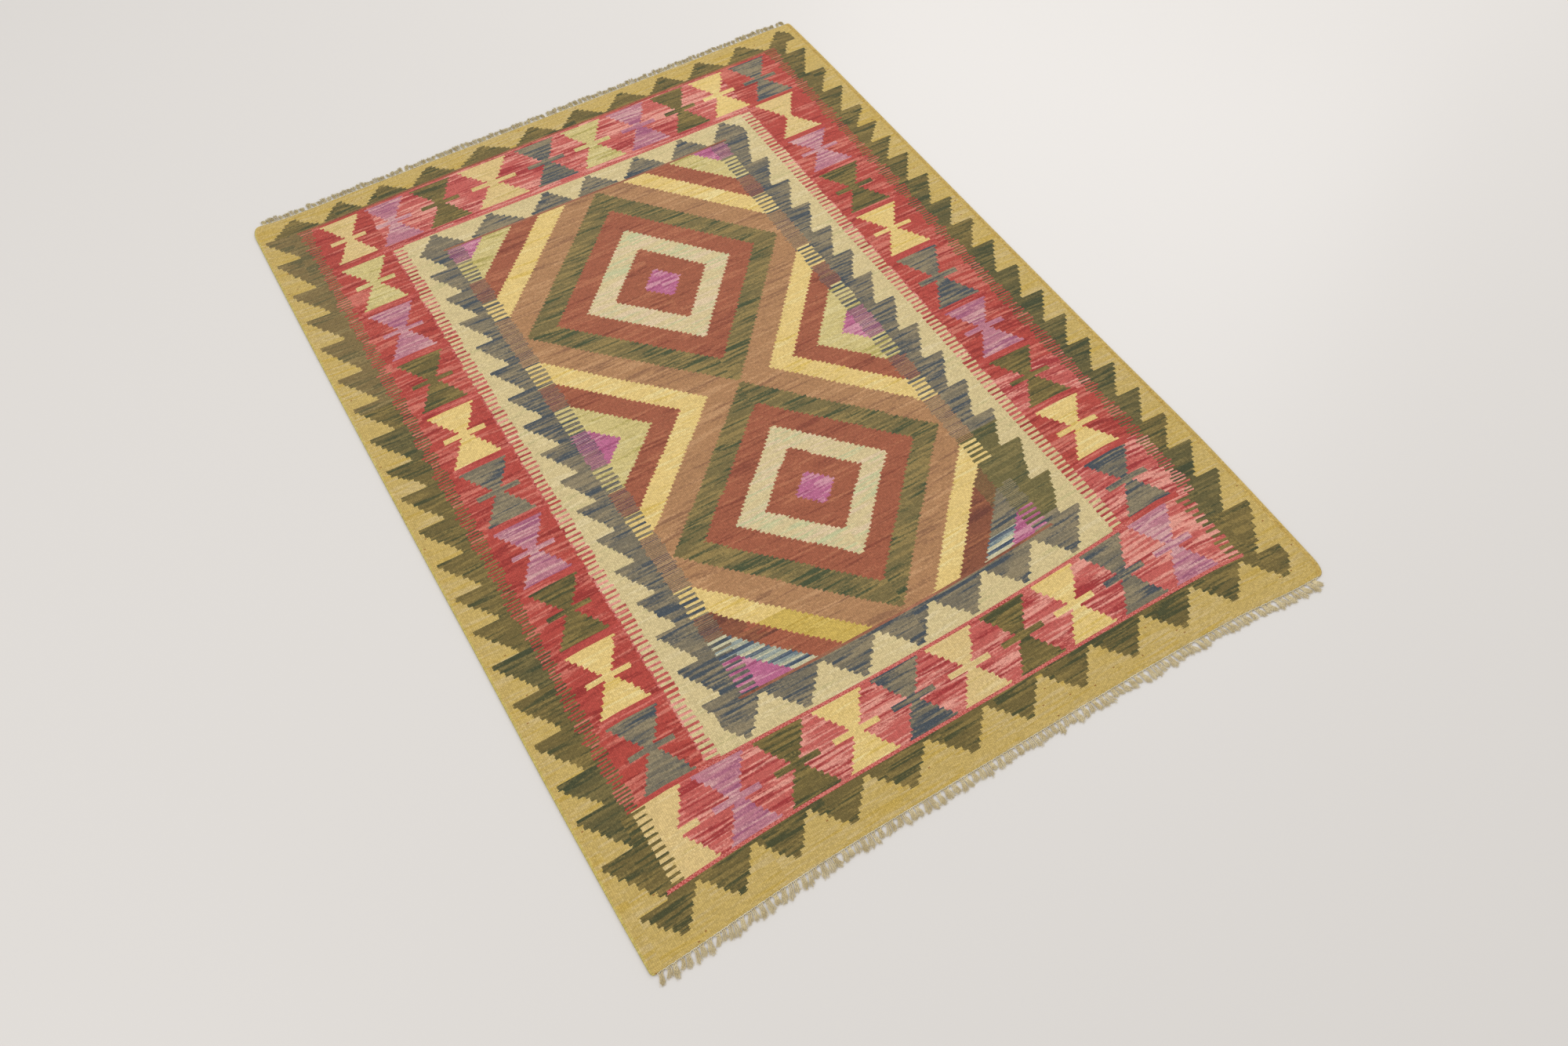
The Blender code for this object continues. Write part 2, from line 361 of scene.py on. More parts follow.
def toothedBand(side, right, along, nearAcross, farAcross, teeth):
    # Inside mask of a band with flag-shaped side teeth and triangular end teeth, each flag's
    # number, and where the flags are. A flag's edge goes from root to tip in equal steps as it
    # rises, then starts again.
    turn = right.choose(beat(along, teeth["right"]), beat(along, teeth["left"]))
    root = right.choose(teeth["right"]["root"], teeth["left"]["root"])
    root = root + (1.0 - along.between(*teeth["deeperFrom"])) * teeth["deeper"]
    tip = right.choose(teeth["right"]["tip"], teeth["left"]["tip"])
    share = ((turn - turn.floor()) * teeth["steps"] + 1.0).floor() / teeth["steps"]
    reach = root - tip - turn.floor().speck() * teeth["uneven"]
    flags = side > root - reach * share
    fromFar = loom["length"] - along
    near = along > triangleEdge(nearAcross, teeth["near"])
    far = fromFar > triangleEdge(farAcross, teeth["far"])
    middle = (along > teeth["near"]["base"]) * (fromFar > teeth["far"]["base"])
    inside = side > tip + loom["toothInset"] + (along < teeth["near"]["base"]) * loom["nearToothInset"]
    return near * far * flags.most(1.0 - middle) * inside, turn.floor(), middle


def hourglass(dx, dy, barred):
    # Mask of an hourglass: it widens by equal steps from its waist, where a bar may cross it.
    widening = (motifs["half"] - motifs["waist"]) / (motifs["height"] - motifs["stepTall"])
    half = motifs["waist"] + (dy / motifs["stepTall"]).floor() * motifs["stepTall"] * widening
    half = (barred * (dy < motifs["bar"])).choose(motifs["barHalf"], half)
    return (dx < half) * (dy < motifs["height"])


def hourglasses(yarn, red, side, right, across, along, farAcross):
    # Puts the rows and columns of hourglasses on the red band, and red dividers in the columns.
    near, far = motifs["near"], motifs["far"]
    nearPart = along < bands["beigeNear"]
    inRow = nearPart.most(loom["length"] - along < bands["beigeFar"])
    rowTurn = nearPart.choose((across - near["start"]) / near["pitch"],
                              (farAcross - far["start"]) / far["pitch"])
    rowPitch = nearPart.choose(near["pitch"], far["pitch"])
    rowNumber = (rowTurn + 0.5).floor()
    columnTurn = right.choose(beat(along, motifs["right"]), beat(along, motifs["left"]))
    columnPitch = right.choose(motifs["right"]["pitch"], motifs["left"]["pitch"])
    columnNumber = (columnTurn + 0.5).floor()
    dx = inRow.choose(abs(rowTurn - rowNumber) * rowPitch, abs(side - motifs["columnSide"]))
    rowDy = abs(along - nearPart.choose(near["waist"], far["waist"]))
    dy = inRow.choose(rowDy, abs(columnTurn - columnNumber) * columnPitch)
    lastRight = (1.0 - inRow) * right * (columnNumber > len(motifs["right"]["names"]) - 1.5)
    onRow = (rowNumber > -0.5) * (rowNumber < len(near["names"]) - 0.5)
    mask = red * hourglass(dx, dy, 1.0 - lastRight) * inRow.choose(onRow, 1.0)
    rowYarn = nearPart.choose(namedYarn(rowNumber, near["names"]), namedYarn(rowNumber, far["names"]))
    columnYarn = right.choose(namedYarn(columnNumber, motifs["right"]["names"]),
                              namedYarn(columnNumber, motifs["left"]["names"]))
    divider = red * (1.0 - inRow) * (dy > motifs["height"]) * (side > motifs["dividerFrom"])
    yarn = woven(divider, "redLine", yarn)
    inRowPatch = mask.choose(rowNumber, rowTurn.floor() + 0.5) + nearPart * motifs["rowPatches"]
    patch = inRow.choose(inRowPatch, columnNumber + right * motifs["rightPatches"])
    return mask.choose(inRow.choose(rowYarn, columnYarn), yarn), patch


def fieldYarn(side, right, across, along):
    # Two stepped diamonds, as rings of equal |dx| / half width + |dy| / half length, and corners
    # where the weaver used up other lots. Where the field is meshed with the slate, its yarns run
    # straight out from the field's edge.
    near, far = diamonds["near"], diamonds["far"]
    upper = along > diamonds["split"]
    axis = along.between(diamonds["axisFrom"], diamonds["split"]) * diamonds["axisMove"]
    meshed = (bands["fieldComb"][0] - side).most(0.0)
    dx = across + right.choose(-1.0, 1.0) * meshed - (axis + diamonds["axisNear"])
    rightHalf = dx > 0.0
    steps = (abs(dx) / diamonds["step"]).floor() * diamonds["step"]
    halfWidth = rightHalf.choose(upper.choose(far["right"], near["right"]),
                                 upper.choose(far["left"], near["left"]))
    halfLength = upper.choose(far["along"], near["along"])
    reach = steps / halfWidth + abs(along - upper.choose(far["centre"], near["centre"])) / halfLength
    yarn = reach * 0.0 + lots[diamonds["core"]]
    for limit, name in diamonds["rings"]:
        yarn = woven(reach > limit, name, yarn)
    yellowLimit, rustLimit, limeLimit = [limit for limit, _ in diamonds["rings"][-3:]]
    leftCorner = (1.0 - right) * (along < near["centre"])
    nearCorner = along < near["centre"]
    ochre = leftCorner * (along < diamonds["ochreBelow"]) * (reach > yellowLimit) * (reach < rustLimit)
    yarn = woven(ochre, "ochre", yarn)
    uneven = (along / loom["weft"] / diamonds["darkPicks"]).floor().speck() * diamonds["darkUneven"]
    darkRust = nearCorner * right.most(side + uneven < diamonds["darkSide"]) * (reach > rustLimit)
    yarn = woven(darkRust, "darkRust", yarn)
    greenPicks = darkRust * right * (side < diamonds["greenMixSide"]) * everyOtherPick(along)
    yarn = woven(greenPicks, "darkGreen", yarn)
    corner = nearCorner * (reach > limeLimit - leftCorner * diamonds["leftWider"][0])
    slate = right * (along > diamonds["blueBelow"])
    stripes = namedYarn((along / diamonds["blueStripe"]).floor() % len(blueStripes), blueStripes)
    yarn = corner.choose(slate.choose(lots["slate"], stripes), yarn)
    ends = (along > diamonds["tipFar"]).most(along < diamonds["tipNear"])
    ends = ends.most(abs(along - diamonds["split"]) < diamonds["tipSplit"])
    tip = reach > diamonds["tip"] - leftCorner * diamonds["leftWider"][1]
    return woven(ends * tip, "magenta", yarn)


def pattern(across, along):
    # The number of the yarn at each place, painted band by band from the outside in, a number
    # that tells neighbouring patches of the same yarn apart, and a mask of the twined lines.
    fromFar = loom["length"] - along
    side = across.least(loom["width"] - across)
    innerSide = across.least((loom["width"] - across) * loom["rightScale"])
    fieldSide = innerSide + (along - loom["fieldLeanFrom"]) * loom["fieldLean"]
    right = across > loom["width"] / 2
    nearPart = along < bands["beigeNear"]
    farAcross, nearAcross = swayed(across, loom["farSway"]), swayed(across, loom["nearSway"])

    # the olive flags were woven from several lots
    teeth, flag, middle = toothedBand(side, right, along, nearAcross, farAcross, outerTeeth)
    darkAbove = right.choose(outerTeeth["darkAbove"]["right"], outerTeeth["darkAbove"]["left"])
    darkLot = (flag.speck() > darkAbove) * middle * (along < outerTeeth["darkBelow"])
    paleLot = (1.0 - right) * middle * (along > outerTeeth["paleFrom"])
    olive = paleLot.choose(lots["paleOlive"], lots["olive"])
    olive = darkLot.choose(lots["darkOlive"], olive)
    yarn = teeth.choose(olive, lots["mustard"])
    yarn = woven(right * stripe(side, *bands["rightEdge"]), "edgeOchre", yarn)
    yarn = woven((1.0 - right) * (side < bands["leftEdge"]), "edgeGreen", yarn)

    # red band, meshed pick by pick with the olive one, and pinker at its near end and its combs
    edge = (nearPart * right).choose(combEdge(along, bands["nearRightComb"]), combEdge(along, bands["mixed"]))
    red = within(side, along, edge, bands["redNear"], bands["redFar"])
    pinker = nearPart.most(right * (along < bands["pinkRight"])).most(innerSide > bands["pinkBars"])
    pinker = pinker * (1.0 - right * stripe(along, *bands["redCell"]))
    yarn = red.choose(pinker.choose(lots["pinkRed"], lots["red"]), yarn)
    yarn, patch = hourglasses(yarn, red, innerSide, right, across, along, farAcross)

    # cream half motif at the near row's left end, combed into the olive
    block = (across < motifs["near"]["start"]) * nearPart * (along > bands["redNear"] + bands["line"])
    stem = block * (across > outerTeeth["left"]["root"])
    yarn = woven(stem, "olive", yarn)
    cream = block * (across > combEdge(along, bands["blockComb"]))
    yarn = woven(cream, "cream", yarn)

    # beige band, combed with the red one, and the lines that run along both bands' ends
    edge = combEdge(along, bands["beigeComb"])
    beige = within(innerSide, along, edge, bands["beigeNear"], bands["beigeFar"])
    yarn = woven(beige, "beige", yarn)
    outerLine = stripe(fromFar, bands["redFar"], bands["line"]) * (side > bands["mixed"][0])
    yarn = outerLine.choose(everyOtherPick(along).choose(lots["redLine"], lots["olive"]), yarn)
    lineFrom = right.choose(bands["nearRightComb"][0], bands["mixed"][0])
    twined = stripe(along, bands["redNear"], bands["line"]) * (side > lineFrom)
    innerLines = endStripes(along, bands["beigeNear"], bands["beigeFar"], bands["line"])
    twined = twined.most(innerLines * (innerSide > bands["beigeLineFrom"]))
    yarn = woven(twined, "redLine", yarn)

    # slate teeth, some of them dark green
    innerFarAcross = swayed(across, loom["innerFarSway"])
    teeth = toothedBand(innerSide, right, along, across, innerFarAcross, innerTeeth)[0]
    green = right * (along > innerTeeth["green"][0]) * (along < innerTeeth["green"][1])
    yarn = teeth.choose(green.choose(lots["darkGreen"], lots["slate"]), yarn)

    # field, its pale yarns combed into the slate and the others mixed with it pick by pick
    inField = fieldYarn(fieldSide, right, across, along)
    combed = listed(inField, [float(name in combedYarns) for name in yarns])
    combed = combed * (along < diamonds["near"]["centre"]).most(abs(inField - lots["magenta"]) > 0.5)
    edge = combed.choose(combEdge(along, bands["fieldComb"]), combEdge(along, bands["fieldMix"]))
    field = within(fieldSide, along, edge, bands["fieldNear"], bands["fieldFar"])
    yarn = field.choose(inField, yarn)
    lines = endStripes(along, bands["fieldNear"], bands["fieldFar"], bands["fieldLine"])
    yarn = woven(lines * (fieldSide > bands["fieldLineFrom"]), "clay", yarn)
    return yarn, patch, twined


woolFinish = {"Roughness": 0.93, "Specular IOR Level": 0.12, "Sheen Weight": 0.08}
streaks = {
    "slow": (160.0, 45.0), "long": (130.0, 10.0), "thin": (65.0, 4.2),        # reach across and along, mm
    "longShare": 0.47, "lightAt": 0.560, "darkAt": 0.580, "busyDrop": 0.085, "blur": 0.13,
    "mottle": 0.04, "slowShift": 0.24,
    "yarnApart": 5.7, "patchApart": 3.1, "thinApart": 50.0, "slowApart": 2.3,  # so none look alike
}
grain = {
    "wander": 1.1, "wanderReach": (5.0, 5.0), "wanderLayers": (7.0, 19.0), "ragged": 0.8,
    # floor and crest are painted shade: the colour's value in the gaps between grains, and how much lighter
    # the grain crests are painted
    "tall": 1.8, "ribShare": 0.35, "floor": 0.77, "crest": 0.26, "speck": 0.28, "height": 0.0007,
    "fleck": 0.998, "fleckColour": (150, 108, 58),
}
twining = {
    "slant": 1.3, "pitch": 5.2, "dash": 2.7, "colour": (218, 126, 116), "relief": 0.5,
    "drift": 12.0, "driftReach": (9.0, 9.0), "driftLayer": 31.0,
}


def noise(x, y, layer, reach, detail=1.0):
    # Smooth noise round 0.5 with spots of this reach across and along, another for each layer.
    place = (x / reach[0]).vector(y / reach[1], layer)
    return place.node("TexNoise", sockets={"Vector": place, "Scale": 1.0, "Detail": detail})


def woolMaterial():
    # Each weft and warp has its place on the loom, and the pattern gives each place its yarn.
    material, shader, start = newMaterial("wovenWool", woolFinish)
    uv = start.node("UVMap", {"uv_map": "loom"})
    split = uv.node("SeparateXYZ", sockets={"Vector": uv})
    across = split * (1 / mm)
    along = Wire(split.tree, split.socket.node.outputs[1]) * (1 / mm)
    weftNumber = (along / loom["weft"]).floor()
    ragged = (weftNumber.speck() - 0.5) * grain["ragged"]
    onLoomX = ((across / loom["warp"] + ragged).floor() + 0.5) * loom["warp"]
    onLoomY = (weftNumber + 0.5) * loom["weft"]
    yarn, patch, twined = pattern(onLoomX, onLoomY)

    # each grain of weft over a warp has its own number; warps and picks wander a little
    wanderX, wanderY = [noise(across, along, layer, grain["wanderReach"]) - 0.5
                        for layer in grain["wanderLayers"]]
    grainX = (across + wanderX * grain["wander"]) / loom["warp"]
    warpNumber = grainX.floor()
    turn = (along + wanderY * grain["wander"]) / grain["tall"] + (warpNumber % 2.0) * 0.5
    cell = warpNumber.vector(turn.floor())
    speck = cell.node("TexWhiteNoise", {"noise_dimensions": "2D"}, {"Vector": cell})
    # crest is 0 in the gaps round a grain and 1 on its top: it is the bump's height, and it also sets the
    # painted shade of the colour
    crest = grainX.hump() * grain["ribShare"] + turn.hump() * (1 - grain["ribShare"])

    # streaks of other lots: light where the sum of both noises is high, dark where the long one
    # is high and the thin one low; the grains mottle their edges
    busy = listed(yarn, [shades[3] for shades in yarns.values()]) * streaks["busyDrop"]
    layer = yarn * streaks["yarnApart"] + patch * streaks["patchApart"]
    longNoise = noise(across, along, layer, streaks["long"], 2.0)
    thinNoise = noise(across, onLoomY, layer + streaks["thinApart"], streaks["thin"])
    slowNoise = noise(across, along, yarn * streaks["slowApart"], streaks["slow"])
    usual, light, dark = [listedShade(yarn, number) for number in range(3)]
    share = streaks["longShare"]
    lightAt = streaks["lightAt"] - busy
    darkAt = streaks["darkAt"] - busy
    shift = (speck - 0.5) * streaks["mottle"] + (slowNoise - 0.5) * streaks["slowShift"]
    lightness = longNoise * share + thinNoise * (1.0 - share) + shift
    darkness = longNoise * share + (1.0 - thinNoise) * (1.0 - share) - shift
    colour = lightness.between(lightAt, lightAt + streaks["blur"]).tint(light, usual)
    colour = darkness.between(darkAt, darkAt + streaks["blur"]).tint(dark, colour)

    # twined lines show pink dashes on the slant, unevenly spaced
    drifting = noise(across, along, twining["driftLayer"], twining["driftReach"]) * twining["drift"]
    dash = ((onLoomX + onLoomY * twining["slant"] + drifting) % twining["pitch"]) < twining["dash"]
    colour = (twined * dash).tint(shade(twining["colour"]), colour)

    # painted shade darkens the gaps round each grain and lightens its crest, each grain has its own random
    # tone, and a few grains in the mustard are brown
    fleck = (speck > grain["fleck"]) * (yarn < lots["mustard"] + 0.5)
    colour = fleck.tint(shade(grain["fleckColour"]), colour)
    # the colour's value: painted shade from the crest, plus each grain's random tone
    value = grain["floor"] + crest * grain["crest"] + speck * grain["speck"]
    colour = colour.node("HueSaturation", sockets={"Color": colour, "Value": value})
    feed(colour, shader, "Base Color")

    height = crest + twined * twining["relief"]
    bump = height.node("Bump", sockets={"Height": height, "Strength": 1.0, "Distance": grain["height"]})
    feed(bump, shader, "Normal")
    return material


yarnFinish = {"Roughness": 0.9, "Specular IOR Level": 0.2, "Sheen Weight": 0.1}
fibreLook = {
    "slow": {"Scale": 90.0, "Detail": 3.0}, "fine": {"Scale": 1800.0, "Detail": 2.0},
    "slowShare": 0.6, "from": 0.38, "to": 0.62, "relief": 0.4, "height": 0.0003,
}


def yarnMaterial(name, usual, dark):
    # Undyed yarn: slow change of shade along and between the ends, fine fibres as bump.
    material, shader, start = newMaterial(name, yarnFinish)
    place = start.node("TexCoord", output=3)
    slow, fine = [start.node("TexNoise", sockets={"Vector": place, **fibreLook[size]})
                  for size in ("slow", "fine")]
    mixed = slow * fibreLook["slowShare"] + fine * (1 - fibreLook["slowShare"])
    mixed = mixed.between(fibreLook["from"], fibreLook["to"])
    feed(mixed.tint(shade(usual), shade(dark)), shader, "Base Color")
    relief = {"Height": fine, "Strength": fibreLook["relief"], "Distance": fibreLook["height"]}
    feed(fine.node("Bump", sockets=relief), shader, "Normal")
    return material


cloth = {
    "width": 1.054, "length": 1.410, "columns": 150, "rows": 200,
    "endStations": (0.0, 0.0006, 0.0014, 0.0028, 0.0050, 0.0085),
    "endDrop": 0.35, "endDropReach": 0.0009, "rimRise": 0.0006, "rimReach": 0.0008,
    # waves are a seed, the longest, the shortest, and how many; they fade in from the edges
    "swell": 0.0004, "swellWaves": (5, 0.50, 0.16), "swellFade": 0.05, "underShare": 0.8,
    "ripple": 0.00016, "rippleWaves": (8, 0.09, 0.02), "rippleFade": 0.02,
    "pickWander": 0.0006, "pickSquash": 0.35, "pickWaves": (21, 0.9, 0.25, 5),
    "warpWander": 0.0010, "warpSquash": 0.2, "warpWaves": (34, 0.8, 0.3, 4),
    "sides": [  # along (0 near, 1 far), left inset, right inset
        (0.00, 0.0110, 0.0060), (0.05, 0.0092, 0.0040), (0.12, 0.0074, 0.0014), (0.20, 0.0056, 0.0000),
        (0.35, 0.0042, 0.0034), (0.50, 0.0022, 0.0052), (0.65, 0.0010, 0.0068), (0.78, 0.0000, 0.0080),
        (0.92, 0.0002, 0.0092), (1.00, 0.0010, 0.0118)],
    "ends": [  # across (0 left, 1 right), near inset, far inset
        (0.00, 0.0000, 0.0050), (0.05, 0.0024, 0.0092), (0.17, 0.0102, 0.0078), (0.28, 0.0136, 0.0062),
        (0.50, 0.0140, 0.0048), (0.72, 0.0136, 0.0030), (0.86, 0.0100, 0.0014), (0.95, 0.0026, 0.0000),
        (1.00, 0.0006, 0.0002)],
    "drift": [  # along, then how far up the loom the picks lie at the left, middle and right
        (0.00, 0.000, 0.000, 0.000), (0.06, 0.006, 0.008, 0.003), (0.14, 0.002, 0.014, -0.009),
        (0.34, -0.001, 0.008, 0.001), (0.50, -0.002, 0.006, 0.002), (0.68, -0.008, 0.004, 0.005),
        (0.86, -0.010, 0.001, 0.004), (0.96, -0.001, -0.001, 0.003), (1.00, 0.000, 0.000, 0.000)],
    "driftReach": 0.38,
    "corners": {  # (across, along)
        ("left", "near"): (0.004, 0.006), ("right", "near"): (0.011, 0.026),
        ("left", "far"): (0.012, 0.026), ("right", "far"): (0.004, 0.008)},
    "selvedge": [  # distance in, height of the face
        (0.0, 0.0015), (0.0006, 0.0023), (0.0012, 0.0028), (0.0024, 0.0031), (0.0036, 0.0032),
        (0.0048, 0.0031), (0.0060, 0.0028), (0.0067, 0.0024), (0.0074, 0.0021), (0.0083, 0.0024),
        (0.0092, 0.0026)],
}
clothEnds = {  # place along the cloth, the way out, and the end's column in the table above
    "near": {"along": 0.0, "out": -1.0, "column": 1},
    "far": {"along": 1.0, "out": 1.0, "column": 2},
}
waveSpread = 1.4     # brings a sum of waves to about -1 to 1


def throughRows(rows, column, at):
    # Smooth curve through one column of a table: cubic between rows, its slope at a row
    # that of the line between the two rows beside it.
    table = np.array(rows)
    place, value = table[:, 0], table[:, column]
    order = np.arange(len(place))
    before, after = np.maximum(order - 1, 0), np.minimum(order + 1, order[-1])
    slope = (value[after] - value[before]) / (place[after] - place[before])
    low = np.clip(np.searchsorted(place, at, side="right") - 1, 0, order[-1] - 1)
    span = place[low + 1] - place[low]
    t = (at - place[low]) / span
    rise = value[low + 1] - value[low]
    enter, leave = slope[low] * span, slope[low + 1] * span
    bend = (3 * rise - 2 * enter - leave) * t ** 2 + (enter + leave - 2 * rise) * t ** 3
    return value[low] + enter * t + bend


def cornerCut(side, along):
    # A quarter ellipse at either end: how far the corner draws the side in.
    cut = np.zeros_like(along)
    for end, distance in (("near", along), ("far", 1.0 - along)):
        acrossReach, alongReach = cloth["corners"][(side, end)]
        leftOver = np.clip(1.0 - distance * cloth["length"] / alongReach, 0.0, 1.0)
        cut += acrossReach * (1.0 - np.sqrt(1.0 - leftOver ** 2))
    return cut


def sideX(side, along):
    # x of a side: half the width, less its inset and what the corners cut off.
    column = 1 if side == "left" else 2
    inset = np.maximum(0.0, throughRows(cloth["sides"], column, along))
    reach = cloth["width"] / 2 - inset - cornerCut(side, along)
    return -reach if side == "left" else reach


def cornerX(side, end):
    # x of a side where it meets an end.
    return float(sideX(side, np.array([clothEnds[end]["along"]]))[0])


def endY(end, across):
    # y of an end: half the length, less its inset.
    inset = np.maximum(0.0, throughRows(cloth["ends"], clothEnds[end]["column"], across))
    return clothEnds[end]["out"] * (cloth["length"] / 2 - inset)


def clothPlan(across, along):
    # Plan position of a woven point: straight lines between opposite edges.
    left, right = sideX("left", along), sideX("right", along)
    near, far = endY("near", across), endY("far", across)
    return left + (right - left) * across, near + (far - near) * along


def waves(x, y, seed, longest, shortest, count=9):
    # Sum of plane waves with random headings and phases, each shorter than the last.
    draw = np.random.default_rng(seed)
    total = np.zeros_like(x)
    for length in np.geomspace(longest, shortest, count):
        heading, phase = draw.uniform(0, math.pi), draw.uniform(0, 2 * math.pi)
        total += np.sin((x * math.cos(heading) + y * math.sin(heading)) * 2 * math.pi / length + phase)
    return total / math.sqrt(count) / waveSpread


def newMesh(name, points, faces, material, uv=None):
    # Mesh object from an array of points and a list of faces, with the loom's places as UVs.
    mesh = bpy.data.meshes.new(name)
    mesh.from_pydata(points.tolist(), [], faces)
    if uv is not None:
        corners = np.zeros(len(mesh.loops), np.int32)
        mesh.loops.foreach_get("vertex_index", corners)
        layer = mesh.uv_layers.new(name="loom")
        layer.data.foreach_set("uv", uv[corners].astype(np.float32).ravel())
    mesh.polygons.foreach_set("use_smooth", np.ones(len(mesh.polygons), bool))
    mesh.materials.append(material)
    mesh.update()
    thing = bpy.data.objects.new(name, mesh)
    bpy.context.scene.collection.objects.link(thing)
    return thing


def clothMiddle():
    # Where the outline's own box has its middle, to lay it on the CAD cloth.
    t = np.linspace(0, 1, 400)
    x = np.concatenate([sideX("left", t), sideX("right", t)])
    y = np.concatenate([endY("near", t), endY("far", t)])
    return (x.min() + x.max()) / 2, (y.min() + y.max()) / 2


low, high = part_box("rug_cloth")
middleX, middleY = clothMiddle()
shiftX = (low.x + high.x) / 2 - middleX
shiftY = (low.y + high.y) / 2 - middleY


def spread(edge, reach, count):
    # Shares of the way across: close together at both edges, and evenly spaced between them.
    edge = np.array(edge) / reach
    inside = np.linspace(edge[-1], 1 - edge[-1], count)[1:-1]
    return np.concatenate([edge, inside, 1 - edge[::-1]])


def buildCloth(material):
    # One sheet: upper and lower grids of the same plan, joined round the rim. The upper face is
    # the selvedge's profile near the sides and the thickness elsewhere, with small swells.
    profile = np.array(cloth["selvedge"])
    across = spread(profile[:, 0], cloth["width"], cloth["columns"])
    along = spread(cloth["endStations"], cloth["length"], cloth["rows"])
    u, v = np.meshgrid(across, along)
    x, y = clothPlan(u, v)
    fromSide = np.minimum(u, 1 - u) * cloth["width"]
    fromEnd = np.minimum(v, 1 - v) * cloth["length"]
    face = np.interp(fromSide, profile[:, 0], profile[:, 1])
    face = face * (1 - cloth["endDrop"] * np.exp(-fromEnd / cloth["endDropReach"]))
    swell = cloth["swell"] * (0.5 + 0.5 * waves(x, y, *cloth["swellWaves"]))
    swell = np.maximum(swell * np.clip(fromSide / cloth["swellFade"], 0, 1), 0.0)
    swell = swell * np.clip(fromEnd / cloth["swellFade"], 0, 1)
    ripple = cloth["ripple"] * waves(x, y, *cloth["rippleWaves"])
    ripple = ripple * np.clip(fromSide / cloth["rippleFade"], 0, 1)
    over = face + swell + ripple
    rim = cloth["rimRise"] * np.exp(-np.minimum(fromSide, fromEnd) / cloth["rimReach"])
    under = swell * cloth["underShare"] + rim
    upper, lower = [np.stack([x + shiftX, y + shiftY, z], -1).reshape(-1, 3) for z in (over, under)]
    number = np.arange(u.size).reshape(u.shape)
    a, b, c, d = number[:-1, :-1], number[:-1, 1:], number[1:, 1:], number[1:, :-1]
    topFaces = np.stack([a, b, c, d], -1).reshape(-1, 4)
    lowFaces = topFaces[:, ::-1] + number.size
    border = np.concatenate([number[0, :], number[1:, -1], number[-1, -2::-1], number[-2:0:-1, 0]])
    following = np.roll(border, -1)
    rimFaces = np.stack([following, border, border + number.size, following + number.size], -1)

    # the weave's own places: the picks drift, by a parabola through the table's three columns
    left, middle, right = [throughRows(cloth["drift"], column, v) for column in (1, 2, 3)]
    w = np.clip((u - 0.5) / cloth["driftReach"], -1.0, 1.0)
    drift = left * w * (w - 1) / 2 + middle * (1 - w ** 2) + right * w * (w + 1) / 2
    pickWaves = waves(x, y * cloth["pickSquash"], *cloth["pickWaves"])
    drift = drift + cloth["pickWander"] * pickWaves * np.sin(math.pi * v)
    lean = cloth["warpWander"] * waves(x * cloth["warpSquash"], y, *cloth["warpWaves"]) * np.sin(math.pi * u)
    place = np.stack([u * loom["width"] * mm + lean, v * loom["length"] * mm + drift], -1).reshape(-1, 2)
    points = np.concatenate([upper, lower])
    faces = np.concatenate([topFaces, lowFaces, rimFaces])
    return newMesh("wovenCloth", points, faces.tolist(), material, np.concatenate([place, place]))


fringe = {
    "gap": 0.0004, "stripDepth": 0.0032, "stripInset": 0.0030, "clearance": 0.0007, "checks": 6, "curl": 0.14,
    "near": {"seed": 11, "width": (0.0042, 0.0064), "length": (0.0095, 0.0160),
             "lean": 0.20, "outward": 0.28, "fan": (0.35, 0.95)},
    "far": {"seed": 23, "width": (0.0038, 0.0062), "length": (0.0080, 0.0135),
            "lean": 0.26, "outward": 0.16, "fan": (0.05, 0.55)},
    "gaps": [(0.72, 0.0007, 0.0014), (0.20, 0.0014, 0.0028), (0.08, 0.0030, 0.0060)],  # share, least, most
    "warp": 0.0026, "warpFrom": 0.0008, "warpTo": 0.0006, "inside": 0.0015, "gathered": 0.0026,
    "fibres": 10, "sides": 3, "stations": 8, "fibreRadius": 0.00025, "uneven": (0.8, 1.15), "taper": 0.4,
    "bundle": 0.00062, "bundleFill": (0.02, 1.0), "twist": 0.0075, "opening": 1.9, "openingDraw": (0.2, 1.3),
    "stray": 0.0009, "rounding": 0.28, "cut": (0.80, 1.08),
    "height": 0.00150, "settle": 0.00055, "lift": 0.0006, "flattened": 0.7, "offFloor": 0.00002,
}


def pickGap(draw):
    # A gap before a tuft: mostly narrow, now and then wide.
    share = draw.random()
    for part, low, high in fringe["gaps"]:
        if share < part:
            return draw.uniform(low, high)
        share -= part
    return draw.uniform(low, high)


def tuftEdges(tuft, distance):
    # Left and right edge of a tuft at a distance out: it leans, curls and fans out as it goes.
    share = min(distance / tuft["length"], 1.0)
    shift = tuft["lean"] * distance + tuft["curl"] * distance * share
    half = tuft["width"] / 2 * (1.0 + tuft["fan"] * share)
    return tuft["middle"] + shift - half, tuft["middle"] + shift + half


def layTufts(end, first, last):
    # The tufts of the CAD fringe: each is moved along until it clears the one before.
    sizes = fringe[end]
    draw = random.Random(sizes["seed"])
    tufts = []
    start = first
    while True:
        width = draw.uniform(*sizes["width"])
        outward = (2.0 * (start - first) / (last - first) - 1.0) * sizes["outward"]
        tuft = {
            "width": width,
            "middle": start + pickGap(draw) + width / 2,
            "length": draw.uniform(*sizes["length"]),
            "lean": outward + draw.uniform(-sizes["lean"], sizes["lean"]),
            "curl": draw.uniform(-fringe["curl"], fringe["curl"]),
            "fan": draw.uniform(*sizes["fan"]),
        }
        if tufts:
            before = tufts[-1]
            shorter = min(tuft["length"], before["length"])
            stations = [shorter * i / fringe["checks"] for i in range(fringe["checks"] + 1)]
            room = min(tuftEdges(tuft, d)[0] - tuftEdges(before, d)[1] for d in stations)
            tuft["middle"] += max(0.0, fringe["clearance"] - room)
        start = tuft["middle"] + width / 2
        if start > last - fringe["clearance"]:
            return tufts
        tufts.append(tuft)


